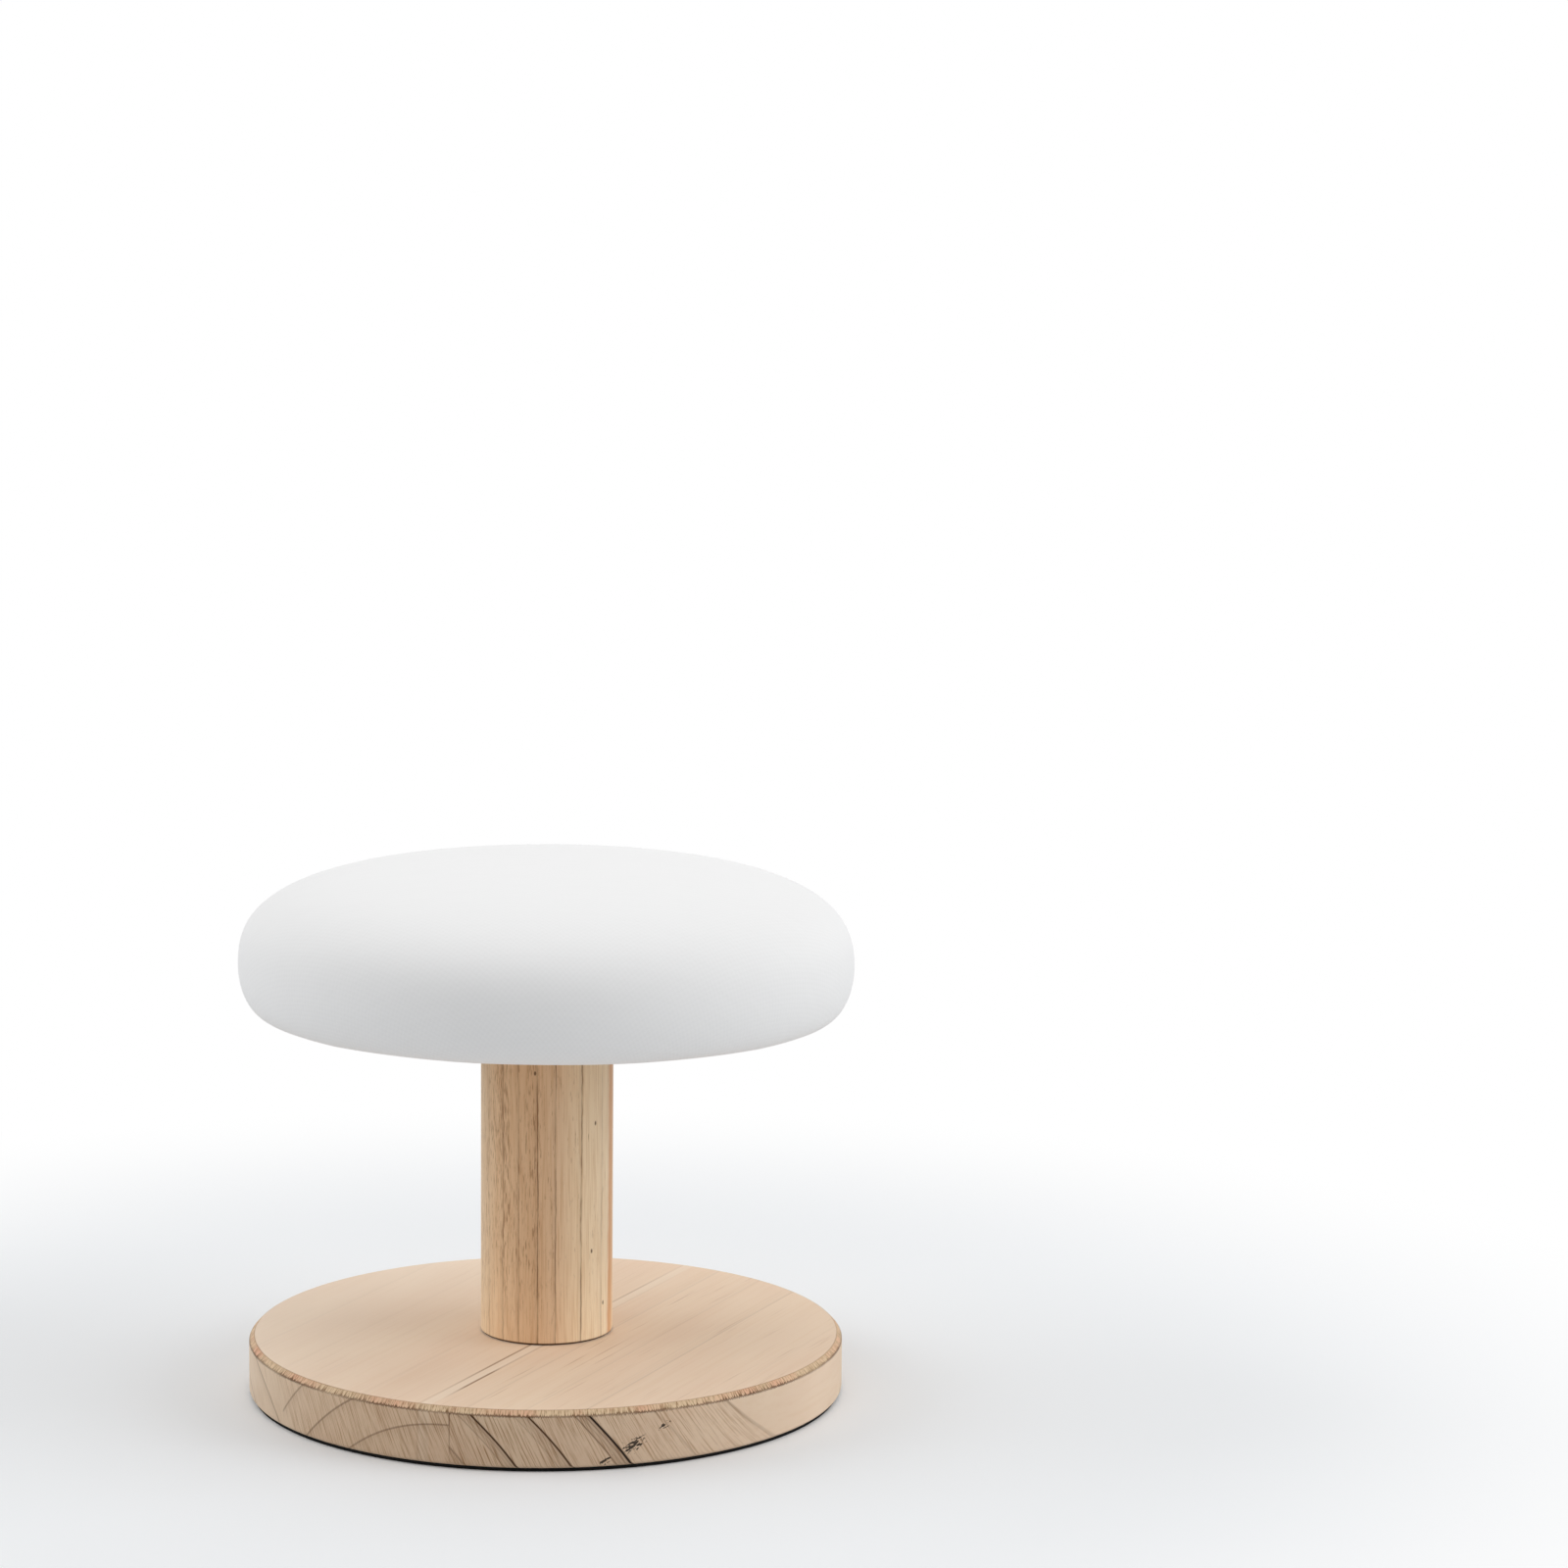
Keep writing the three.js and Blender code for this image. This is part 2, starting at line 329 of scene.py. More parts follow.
def make_foam():
    """Domed foam on the top board: crown, the start of the lower edge, and a flat face on the board."""
    inset = COVER_THICKNESS + WADDING_THICKNESS + 2 * LAYER_GAP
    crown, edge = top_section(inset, COVER_THICKNESS + LAYER_GAP, BOARD_TOP)
    dome = [even_steps(crown, CROWN_STEPS), even_steps(edge, FOAM_EDGE_STEPS)[1:], [(0, BOARD_TOP)]]
    return skin("foam_dome", revolve(np.vstack(dome), PADDING_SIDES))


def make_wadding():
    """Felt cap over the foam: the outer section down to the trim, and the inner one back up."""
    outer_inset = COVER_THICKNESS + LAYER_GAP
    faces = []
    for inset in (outer_inset, outer_inset + WADDING_THICKNESS):
        crown, edge = top_section(inset, outer_inset, BOARD_BOTTOM + WADDING_TRIM)
        faces.append(np.vstack([even_steps(crown, CROWN_STEPS), even_steps(edge, WADDING_EDGE_STEPS)[1:]]))
    outer, inner = faces
    return skin("wadding_cap", revolve(np.vstack([outer, inner[::-1]]), PADDING_SIDES))


def cover_section():
    """Section of the cloth's outer face before it swells.

    From the middle of the crown it goes over the lower edge, in under the board, down over its own
    turned edge, in to the fold, round the fold, and back out between the hem and the board.
    """
    crown, edge = top_section(START_INSET, 0, UNDERSIDE, START_DROP)
    fold_turn = np.linspace(-np.pi / 2, -3 * np.pi / 2, FOLD_POINTS)
    fold = COVER_THICKNESS * np.stack([np.cos(fold_turn), np.sin(fold_turn)], axis=-1)
    fold += (HEM_INNER + COVER_THICKNESS, HEM_BOTTOM + COVER_THICKNESS)
    step = np.array([(HEM_OUTER + HEM_LEAD, UNDERSIDE), (HEM_OUTER - HEM_LAP, HEM_BOTTOM)])
    tuck = (HEM_OUTER - HEM_TUCK, HEM_TOP)
    # Each stretch, and its number of cells
    stretches = [
        (crown, 30),
        (edge, 8),
        (np.array([edge[-1], step[0]]), 4),
        (step, 1),
        (np.array([step[1], fold[0]]), 5),
        (fold, 3),
        (np.array([fold[-1], tuck]), 2),
    ]
    return np.vstack([crown[:1], *(even_steps(line, cells)[1:] for line, cells in stretches)])


def disc_grid(rings):
    """Ring and turn of each point of a square grid that is laid out as a disc.

    A point's ring is the larger of its two steps from the middle, and the points of a ring are spread
    evenly round it, an eighth of a turn for each half side, so the disc has no pole.
    """
    line = np.arange(-rings, rings + 1)
    x, y = np.meshgrid(line, line, indexing="ij")
    ring = np.maximum(np.abs(x), np.abs(y))
    wide = np.abs(x) >= np.abs(y)
    along = np.pi / 4 * np.where(wide, y, x) / np.where(wide, np.where(x == 0, 1, x), y)
    turn = np.where(wide, along + np.where(x < 0, np.pi, 0), np.where(y < 0, -1, 1) * np.pi / 2 - along)
    return ring, turn


def make_cover():
    """The cotton cover as a disc of cloth, each ring of its grid laid on one point of its section.

    Under the board the spare cloth hangs in pleats between the staples: depth times ((1 - cos 12a) / 2)^3,
    with small gathers on it, growing from the lower edge in to the hem. With l = cos a, 1 on the right
    and -1 on the left, the lower edge sinks by p l + q l^2, and the shoulder stands out by a share of
    ((1 - l) / 2)^2.
    """
    section = cover_section()
    ring, turn = disc_grid(len(section) - 1)
    radius, height = section[ring].transpose(2, 0, 1)
    under = ring > np.argmax(section[:, 0])
    inward = np.where(under, np.clip((COVER_RADIUS - EDGE_DEPTH - radius) / HEM_SETBACK, 0, 1), 0)

    phase = STAPLE_COUNT * (turn - FIRST_STAPLE)
    between = (1 - np.cos(phase)) / 2
    stray = smooth_random(SWAY_PLACES, seed=11, reach=2)
    places = np.linspace(0, 2 * np.pi, SWAY_PLACES + 1)
    sway = GATHER_SWAY * np.interp(turn % (2 * np.pi), places, np.append(stray, stray[0]))
    gathers = (1 - np.cos(GATHERS * phase + sway)) / 2
    drop = inward * (PLEAT_DEPTH * between**3 + GATHER_DEPTH * between * gathers)

    right = np.cos(turn)
    lower = np.clip((EQUATOR - height) / EDGE_HEIGHT, 0, 1) * (1 - inward)
    drop += lower * ((EDGE_SAG + EDGE_LIFT) / 2 * right + (EDGE_SAG - EDGE_LIFT) / 2 * right**2)
    raised = np.clip((height - EQUATOR) / CROWN_RISE, 0, 1)
    reach = radius + SHOULDER_FULL * (4 * raised * (1 - raised)) ** 2 * ((1 - right) / 2) ** 2
    points = np.stack([reach * np.cos(turn), reach * np.sin(turn), height - drop], axis=-1)

    index = np.arange(ring.size).reshape(ring.shape)
    cells = np.stack([index[:-1, :-1], index[1:, :-1], index[1:, 1:], index[:-1, 1:]], axis=-1).reshape(-1, 4)
    mesh = bpy.data.meshes.new("cover_cloth")
    mesh.from_pydata((points.reshape(-1, 3) * MM).tolist(), [], cells.tolist())
    length = lengths(section)[ring]
    flat = np.stack([length * np.cos(turn), length * np.sin(turn)], axis=-1).reshape(-1, 2)
    mesh.uv_layers.new(name="flat_cloth").data.foreach_set("uv", (flat[cells.ravel()] * MM).ravel())
    piece = show("cover_cloth", mesh)

    staple_pull = ((1 + np.cos(phase)) / 2) ** 4
    held = inward * (HEM_GRIP + STAPLE_GRIP * staple_pull) + EDGE_GRIP * staple_pull * under
    held = np.maximum(np.clip(held, 0, 1), FOAM_GRIP)
    held = np.where(under & (radius < HEM_OUTER), 1, held)
    swell(piece, held.ravel())
    wall = piece.modifiers.new("cloth_thickness", "SOLIDIFY")
    wall.thickness = COVER_DRAWN * COVER_THICKNESS * MM
    wall.offset = -1
    smooth = piece.modifiers.new("smooth_cloth", "SUBSURF")
    smooth.levels = 1
    smooth.render_levels = 1
    return piece


def swell(piece, held):
    """Blows the cloth out against its hem by simulation.

    held is 1 where the staples fix the cloth, and less where only the foam springs under it. Each point
    keeps its outward move m as limit times tanh(m / limit), evened out between neighbours.
    """
    group = piece.vertex_groups.new(name="held")
    levels = np.round(held, 1)
    for level in np.unique(levels):
        group.add(np.flatnonzero(levels == level).tolist(), float(level), "REPLACE")
    cloth = piece.modifiers.new("padding", "CLOTH")
    for name, value in COTTON.items():
        setattr(cloth.settings, name, value)
    cloth.settings.vertex_group_mass = "held"
    cloth.settings.pin_stiffness = FOAM_STIFFNESS
    cloth.settings.use_pressure = True
    cloth.settings.uniform_pressure_force = PADDING_PRESSURE
    cloth.settings.effector_weights.gravity = 0
    cloth.collision_settings.use_collision = False
    scene = bpy.context.scene
    for step in range(1, CLOTH_FRAMES + 1):
        scene.frame_set(step)
    side = math.isqrt(len(held))
    start = np.empty((side, side, 3), np.float32)
    ended = np.empty_like(start)
    outwards = np.empty_like(start)
    piece.data.vertices.foreach_get("co", start.ravel())
    piece.data.vertex_normals.foreach_get("vector", outwards.ravel())
    blown = piece.evaluated_get(bpy.context.evaluated_depsgraph_get()).to_mesh()
    blown.vertices.foreach_get("co", ended.ravel())
    piece.modifiers.remove(cloth)
    scene.frame_set(1)
    limit = SWELL_LIMIT * MM
    swollen = np.sum((ended - start) * outwards, axis=-1)
    swollen = limit * np.tanh(np.maximum(swollen, 0) / limit)
    for _ in range(FOAM_SPREAD):
        inner = swollen[1:-1, 1:-1]
        around = swollen[:-2, 1:-1] + swollen[2:, 1:-1] + swollen[1:-1, :-2] + swollen[1:-1, 2:]
        swollen[1:-1, 1:-1] = inner / 2 + around / 8
    piece.data.vertices.foreach_set("co", (start + swollen[..., None] * outwards).ravel())
    piece.data.update()


def make_staple(number):
    """A staple of round-cornered wire: its section carried along the legs, the corners and the crown.

    The section is the rounded square |x|^n + |y|^n = (wire / 2)^n, and it shrinks to a point at both ends.
    """
    half = (STAPLE_CROWN - STAPLE_WIRE) / 2
    crown = HEM_BOTTOM - LAYER_GAP - STAPLE_WIRE / 2
    leg_top = BOARD_BOTTOM + STAPLE_BITE
    bend = np.linspace(0, np.pi / 2, BEND_POINTS)
    corner = STAPLE_BEND * np.stack([np.sin(bend), 1 - np.cos(bend)], axis=-1)
    right = corner + (half - STAPLE_BEND, crown)
    leg = even_steps(np.array([right[-1], (half, leg_top)]), LEG_STEPS)
    right = np.vstack([(0, crown), right, leg[1:]])
    path = np.vstack([right[::-1] * (-1, 1), right[1:]])[::-1]
    ahead = np.gradient(path, axis=0)
    ahead /= np.linalg.norm(ahead, axis=1)[:, None]
    sideways = np.stack([-ahead[:, 1], ahead[:, 0]], axis=-1)
    turn = np.linspace(0, 2 * np.pi, STAPLE_SIDES, endpoint=False)
    across, deep = STAPLE_WIRE / 2 * np.stack([np.cos(turn), np.sin(turn)])
    square = 1 / (np.cos(turn) ** STAPLE_SQUARE + np.sin(turn) ** STAPLE_SQUARE) ** (1 / STAPLE_SQUARE)
    size = np.ones(len(path))
    size[[0, -1]] = 0
    reach = np.outer(size, across * square)
    x = path[:, :1] + reach * sideways[:, :1]
    z = path[:, 1:] + reach * sideways[:, 1:]
    y = np.outer(size, deep * square) - (HEM_INNER + HEM_OUTER) / 2
    angle = 2 * math.pi * (number - 1) / STAPLE_COUNT
    cos, sin = math.cos(angle), math.sin(angle)
    return skin(f"hem_staple_{number:02d}", np.stack([x * cos - y * sin, x * sin + y * cos, z], axis=-1))


WHITE = "#ffffff"


def linear(colour):
    """An sRGB colour such as "#e0c8b0" as linear red, green, blue and alpha."""
    srgb = np.array([int(colour[i : i + 2], 16) for i in (1, 3, 5)]) / 255
    return (*np.where(srgb <= 0.04045, srgb / 12.92, ((srgb + 0.055) / 1.055) ** 2.4), 1.0)


def add(tree, kind, inputs=(), stops=(), ramp="LINEAR", **settings):
    """Adds a shader node with its settings and links.

    inputs gives, by the input's name or place, a value, an sRGB colour, a socket, or a node whose first
    output in use is meant. By place, a MapRange reads from 1 to 2 and gives 3 to 4, or 0 to 1 where
    these are left out, and a Mix of colours goes from 6 to 7 by its share in 0. stops are a colour
    ramp's places, each with an sRGB colour, linear values or a grey level.
    """
    node = tree.nodes.new("ShaderNode" + kind)
    for name, value in settings.items():
        setattr(node, name, value)
    if stops:
        node.color_ramp.interpolation = ramp
        while len(node.color_ramp.elements) < len(stops):
            node.color_ramp.elements.new(1)
        for element, (place, colour) in zip(node.color_ramp.elements, stops):
            element.position = place
            if isinstance(colour, str):
                colour = linear(colour)
            element.color = colour if isinstance(colour, tuple) else (colour, colour, colour, 1)
    for name, value in dict(inputs).items():
        if isinstance(value, str):
            value = linear(value)
        if isinstance(value, bpy.types.Node):
            value = next(output for output in value.outputs if output.enabled)
        if isinstance(value, bpy.types.NodeSocket):
            tree.links.new(value, node.inputs[name])
        else:
            node.inputs[name].default_value = value
    return node


def make_finish(surface):
    """A material named after the function that adds its nodes to a tree and returns its shader."""
    material = bpy.data.materials.new(surface.__name__)
    material.use_nodes = True
    tree = material.node_tree
    tree.nodes.clear()
    add(tree, "OutputMaterial", {"Surface": surface(tree)})
    return material


def place_in_mm(tree):
    """Where a point of a piece lies, in millimetres."""
    return add(tree, "Mapping", {0: add(tree, "TexCoord").outputs["Object"], "Scale": (1 / MM,) * 3})


def wood_patterns(tree, wood, patterns):
    """Noise patterns in the wood by name, each stretched each way by its three sizes."""
    noise = {}
    for name, (sizes, detail) in patterns.items():
        place = add(tree, "Mapping", {0: wood, "Scale": tuple(1 / size for size in sizes)})
        noise[name] = add(tree, "TexNoise", {"Vector": place, "Scale": 1, "Detail": detail})
    return SimpleNamespace(**noise)


# Wood of the base
GRAIN_TURN = math.radians(63)  # from +X
PITH_REACH = 150  # no tree's middle lies further from the base's middle than this
STAVE_JOINT = -12.6  # a joint between two staves, across the grain from the middle
# Where each stave starts across the grain, its tree's middle across and up, and how far its cut ends
# are hatched
STAVES = [
    (-BASE_RADIUS, 43.5, -51, 1.0),
    (STAVE_JOINT, -12, -37.1, 0.75),
    (42, 90, -35, 0.5),
]
BASE_RING = 10.4  # from one growth ring to the next
BASE_RING_FIRST = 38  # radius of the first ring counted
BASE_RING_WANDER = 1.6  # how far the rings stray
# How dark each ring's line is, from the first one outwards
BASE_RING_DEPTHS = [0.4, 0.5, 0.55, 0.5, 0.5, 0.88, 0.82, 1.0, 0.3, 0.6, 0.15]
# Fine lines of late wood before the darkest rings: share of the year's growth, and how dark each is
LATE_LINES = [(0.745, 0.85), (0.83, 0.4), (0.905, 0.6)]
SAP_STRIP = (-7.2, -3.9)  # outer and inner side of a strip of sapwood on the face, across the grain
# Distance along the grain, and how dark the lines on the strip's inner and outer side are there
SAP_LINES = [
    (-72, 0.15, 0),
    (-65, 0.25, 0.35),
    (-60, 0.3, 0.95),
    (-46, 0.6, 0.95),
    (-40, 0.8, 0.35),
    (-22, 0.7, 0.3),
    (20, 0.2, 0.1),
    (45, 0.4, 0.1),
    (72, 0.1, 0),
]
# Noise patterns: sizes along the grain, across it and up, and how many times finer detail is added
BASE_PATTERNS = {
    "wander": ((120, 40, 40), 2),
    "cloud": ((60, 18, 18), 2),
    "fibre": ((45, 1.2, 1.2), 3),
}
HATCH_LEAN = 0.42  # the hatch of the cut ends leans across by this share of its height
HATCH_RINGS = 9  # the hatch stops at this ring
RIM_RAGGED = 1.4  # how far the chamfer's lower line strays up and down
# Bark pockets in the rim: turn from +X in degrees, height, and half of their length and width
BARK = [(-73.9, 6.2, 6.2, 3.2), (-67.8, 10.6, 3.0, 1.3), (-79.3, 2.6, 3.6, 1.4)]
BARK_RISE = math.radians(30)  # slope at which they climb round the rim


def board_place(tree):
    """Where a point of the base lies in its wood and on its rim, and which way it faces.

    end goes from 0 on a face along the grain to 1 on one cut straight across it.
    """
    place = place_in_mm(tree)
    wood = add(tree, "VectorRotate", {"Vector": place, "Angle": -GRAIN_TURN}, rotation_type="Z_AXIS")
    along, across, up = add(tree, "SeparateXYZ", {0: wood}).outputs
    x, y, _ = add(tree, "SeparateXYZ", {0: place}).outputs
    turn = add(tree, "Math", {0: y, 1: x}, operation="ARCTAN2")
    round_rim = add(tree, "Math", {0: turn, 1: BASE_RADIUS}, operation="MULTIPLY")
    rim = add(tree, "CombineXYZ", {0: round_rim, 1: up})
    normal = add(tree, "NewGeometry").outputs["Normal"]
    facing_up = add(tree, "SeparateXYZ", {0: normal}).outputs[2]
    grain_way = (math.cos(GRAIN_TURN), math.sin(GRAIN_TURN), 0)
    end_dot = add(tree, "VectorMath", {0: normal, 1: grain_way}, operation="DOT_PRODUCT")
    end = add(tree, "Math", {0: end_dot}, operation="ABSOLUTE")
    noise = wood_patterns(tree, wood, BASE_PATTERNS)
    return SimpleNamespace(
        wood=wood, along=along, across=across, up=up, rim=rim, facing_up=facing_up, end=end, noise=noise
    )


def stave_age(tree, at):
    """The wood's age in years, and how far the cut ends of its stave are hatched.

    Age is the distance from the middle of the stave's tree, with a slow wander, less the first ring's
    radius, over the width of a ring. A ramp holds each stave's values as colours from 0 to 1.
    """
    share = add(tree, "MapRange", {0: at.across, 1: -BASE_RADIUS, 2: BASE_RADIUS})
    stops = [
        ((start / BASE_RADIUS + 1) / 2, (pith / PITH_REACH / 2 + 0.5, low / PITH_REACH / 2 + 0.5, hatched, 1))
        for start, pith, low, hatched in STAVES
    ]
    stave = add(tree, "ValToRGB", {0: share}, stops=stops, ramp="CONSTANT")
    span = (2 * PITH_REACH, 2 * PITH_REACH, 0)
    back = (-PITH_REACH, -PITH_REACH, 0)
    pith = add(tree, "VectorMath", {0: stave, 1: span, 2: back}, operation="MULTIPLY_ADD")
    section = add(tree, "CombineXYZ", {0: at.across, 1: at.up})
    distance = add(tree, "VectorMath", {0: section, 1: pith}, operation="DISTANCE")
    strayed = {0: at.noise.wander, 1: BASE_RING_WANDER, 2: distance}
    wandered = add(tree, "Math", strayed, operation="MULTIPLY_ADD")
    first = BASE_RING_FIRST + BASE_RING_WANDER / 2
    age = add(tree, "Math", {0: wandered, 1: 1 / BASE_RING, 2: -first / BASE_RING}, operation="MULTIPLY_ADD")
    return age, add(tree, "SeparateColor", {0: stave}).outputs["Blue"]


def growth_rings(tree, age):
    """How dark the growth rings are, and how dark the core of the strongest ones.

    A line 0.4 mm wide ends each year, with fine lines of late wood before the darkest ones.
    """
    season = add(tree, "Math", {0: age}, operation="FRACT")
    stops = [(0, 1), (0.012, 0.6), (0.024, 0), (0.75, 0), (0.963, 0.2), (0.972, 1), (1, 1)]
    line = add(tree, "ValToRGB", {0: season}, stops=stops)
    stops = [(0.7, 0)]
    for start, level in LATE_LINES:
        stops += [(start - 0.015, 0.15), (start - 0.005, level), (start + 0.01, level), (start + 0.025, 0.15)]
    late = add(tree, "ValToRGB", {0: season}, stops=[*stops, (0.955, 0.4), (0.965, 1)])
    count = len(BASE_RING_DEPTHS)
    nearest = add(tree, "Math", {0: age, 1: 1 / count, 2: 0.5 / count}, operation="MULTIPLY_ADD")
    stops = [(i / count, depth) for i, depth in enumerate(BASE_RING_DEPTHS)]
    depth = add(tree, "ValToRGB", {0: nearest}, stops=stops, ramp="CONSTANT")
    late_depth = add(tree, "Math", {0: depth, 1: 5}, operation="POWER")
    late_dark = add(tree, "Math", {0: late, 1: late_depth}, operation="MULTIPLY")
    ring = add(tree, "Math", {0: line, 1: depth, 2: late_dark}, operation="MULTIPLY_ADD")
    return ring, add(tree, "Math", {0: line, 1: late_depth}, operation="MULTIPLY")


def pine_face(tree, at):
    """Wood along its grain: broad clouds of cream and peach, faint fibres, a few brown dashes, and a
    paler left side that is painted light."""
    face = add(tree, "ValToRGB", {0: at.noise.cloud}, stops=[(0.35, "#edd3ba"), (0.65, "#f1dac1")])
    fibre_tint = add(tree, "ValToRGB", {0: at.noise.fibre}, stops=[(0.3, "#faf6f1"), (0.55, WHITE)])
    face = add(tree, "Mix", {0: 0.55, 6: face, 7: fibre_tint}, data_type="RGBA", blend_type="MULTIPLY")
    # The dashes' pattern is moved to where the longest ones fall in front
    moved = {0: at.wood, "Location": (5, 3, 8), "Scale": (1 / 34, 1 / 1.0, 1 / 1.0)}
    dash_noise = add(tree, "TexNoise", {"Vector": add(tree, "Mapping", moved), "Scale": 1, "Detail": 1})
    dash = add(tree, "MapRange", {0: dash_noise, 1: 0.65, 2: 0.8, 4: 0.45})
    dash_show = add(tree, "MapRange", {0: at.across, 1: 5, 2: -15, 3: 0.35, 4: 1})
    dash_mark = add(tree, "Math", {0: dash, 1: dash_show}, operation="MULTIPLY")
    dash_mark = add(tree, "Math", {0: dash_mark, 1: at.facing_up}, operation="MULTIPLY", use_clamp=True)
    face = add(tree, "Mix", {0: dash_mark, 6: face, 7: "#a87a52"}, data_type="RGBA")
    # painted light: the face grows paler towards the left, lifting it out of the cushion's shade
    pale = add(tree, "MapRange", {0: at.across, 1: 10, 2: 60, 4: 0.5})
    return add(tree, "Mix", {0: pale, 6: face, 7: "#faead7"}, data_type="RGBA")


def sapwood_strip(tree, at, face):
    """The face with its strip of paler sapwood, and a thin brown line on each side of it."""
    sap_from, sap_to = SAP_STRIP
    in_strip = add(tree, "MapRange", {0: at.across, 1: sap_from - 1, 2: sap_to + 1})
    sap = add(tree, "ValToRGB", {0: in_strip}, stops=[(0.18, 0), (0.25, 0.3), (0.7, 0.3), (0.8, 0)])
    face = add(tree, "Mix", {0: sap, 6: face, 7: "#f6e8d6"}, data_type="RGBA")
    run = add(tree, "MapRange", {0: at.along, 1: -BASE_RADIUS, 2: BASE_RADIUS})
    stops = [((along / BASE_RADIUS + 1) / 2, (inner, outer, 0, 1)) for along, inner, outer in SAP_LINES]
    dark = add(tree, "SeparateColor", {0: add(tree, "ValToRGB", {0: run}, stops=stops)}).outputs
    for side, strength in ((sap_to, dark["Red"]), (sap_from, dark["Green"])):
        off = add(tree, "Math", {0: at.across, 1: -side}, operation="ADD")
        off = add(tree, "Math", {0: off}, operation="ABSOLUTE")
        near = add(tree, "MapRange", {0: off, 1: 0.5, 2: 0.15, 4: 0.9})
        mark = add(tree, "Math", {0: near, 1: strength}, operation="MULTIPLY")
        face = add(tree, "Mix", {0: mark, 6: face, 7: "#8a6444"}, data_type="RGBA")
    return face


def end_hatch(tree, at, age, hatched):
    """Close leaning lines about a quarter of a millimetre wide, and how far they show on the cut ends."""
    leant = add(tree, "Math", {0: at.up, 1: -HATCH_LEAN, 2: at.across}, operation="MULTIPLY_ADD")
    hatch_place = add(tree, "CombineXYZ", {0: leant, 1: at.up, 2: at.along})
    hatch_scaled = add(tree, "Mapping", {0: hatch_place, "Scale": (1 / 0.28, 1 / 9, 1 / 60)})
    hatch = add(tree, "TexNoise", {"Vector": hatch_scaled, "Scale": 1, "Detail": 2})
    inside = add(tree, "Math", {0: age, 1: HATCH_RINGS}, operation="LESS_THAN")
    share = add(tree, "Math", {0: at.end, 1: hatched}, operation="MULTIPLY")
    return hatch, add(tree, "Math", {0: share, 1: inside}, operation="MULTIPLY")


def cut_ends(tree, at, face, age, hatch, hatch_share):
    """The face's colour carried over the cut ends: greyer there, hatched and ringed, with the joint near the
    middle as a hairline that fades downwards."""
    cut = add(tree, "Mix", {0: at.end, 6: face, 7: "#e4ddd4"}, data_type="RGBA", blend_type="MULTIPLY")
    hatch_tint = add(tree, "ValToRGB", {0: hatch}, stops=[(0.3, "#b9a285"), (0.52, WHITE)])
    cut = add(tree, "Mix", {0: hatch_share, 6: cut, 7: hatch_tint}, data_type="RGBA", blend_type="MULTIPLY")
    ring, core = growth_rings(tree, age)
    ring_show = add(tree, "MapRange", {0: at.end, 3: 0.06, 4: 0.95})
    ring_mark = add(tree, "Math", {0: ring, 1: ring_show}, operation="MULTIPLY", use_clamp=True)
    ring_tone = add(tree, "Mix", {0: core, 6: "#5e3d22", 7: "#1f130a"}, data_type="RGBA")
    ringed = add(tree, "Mix", {0: ring_mark, 6: cut, 7: ring_tone}, data_type="RGBA")
    from_joint = add(tree, "Math", {0: at.across, 1: -STAVE_JOINT}, operation="ADD")
    away = add(tree, "Math", {0: from_joint}, operation="ABSOLUTE")
    gap = add(tree, "MapRange", {0: away, 1: 0.25, 2: 0.08})
    gap_show = add(tree, "MapRange", {0: at.up, 1: BASE_BOTTOM, 2: BASE_TOP})
    gap_end = add(tree, "Math", {0: gap_show, 1: at.end}, operation="MULTIPLY")
    gap_dark = add(tree, "Math", {0: gap, 1: gap_end}, operation="MULTIPLY")
    return add(tree, "Mix", {0: gap_dark, 6: ringed, 7: "#6b4a31"}, data_type="RGBA")


def routed_rim(tree, at, coloured):
    """The colour with the chamfer's: straw with some salmon, ticks of the cutter across it, and a burnt line
    at each of its corners, the lower one ragged and broken."""
    patch = add(tree, "TexNoise", {"Vector": at.rim, "Scale": 1 / 16, "Detail": 4})
    rim = add(tree, "ValToRGB", {0: patch}, stops=[(0.47, "#e2c7a4"), (0.63, "#e4b393")])
    tick_place = add(tree, "Mapping", {0: at.rim, "Scale": (1 / 0.36, 1 / 1.6, 1)})
    tick = add(tree, "TexNoise", {"Vector": tick_place, "Scale": 1, "Detail": 2})
    tick_tint = add(tree, "ValToRGB", {0: tick}, stops=[(0.32, "#a08262"), (0.56, WHITE)])
    rim = add(tree, "Mix", {0: 0.8, 6: rim, 7: tick_tint}, data_type="RGBA", blend_type="MULTIPLY")
    chamfer = add(tree, "ValToRGB", {0: at.facing_up}, stops=[(0.3, 0), (0.5, 1), (0.9, 1), (0.97, 0)])
    upper = add(tree, "ValToRGB", {0: at.facing_up}, stops=[(0.8, 0), (0.87, 0.4), (0.95, 0.4), (0.99, 0)])
    ragged = add(tree, "Math", {0: tick, 1: RIM_RAGGED, 2: at.up}, operation="MULTIPLY_ADD")
    corner = BASE_TOP - BASE_CHAMFER + RIM_RAGGED / 2
    below = add(tree, "Math", {0: ragged, 1: corner}, operation="SUBTRACT")
    below = add(tree, "Math", {0: below}, operation="ABSOLUTE")
    lower_line = add(tree, "MapRange", {0: below, 1: 0.4, 2: 0.15})
    broken = add(tree, "MapRange", {0: patch, 1: 0.35, 2: 0.6, 3: 0.4, 4: 0.85})
    lower = add(tree, "Math", {0: lower_line, 1: broken}, operation="MULTIPLY")
    for share, tone in ((chamfer, rim), (upper, "#8d6443"), (lower, "#5e422b")):
        coloured = add(tree, "Mix", {0: share, 6: coloured, 7: tone}, data_type="RGBA")
    return coloured


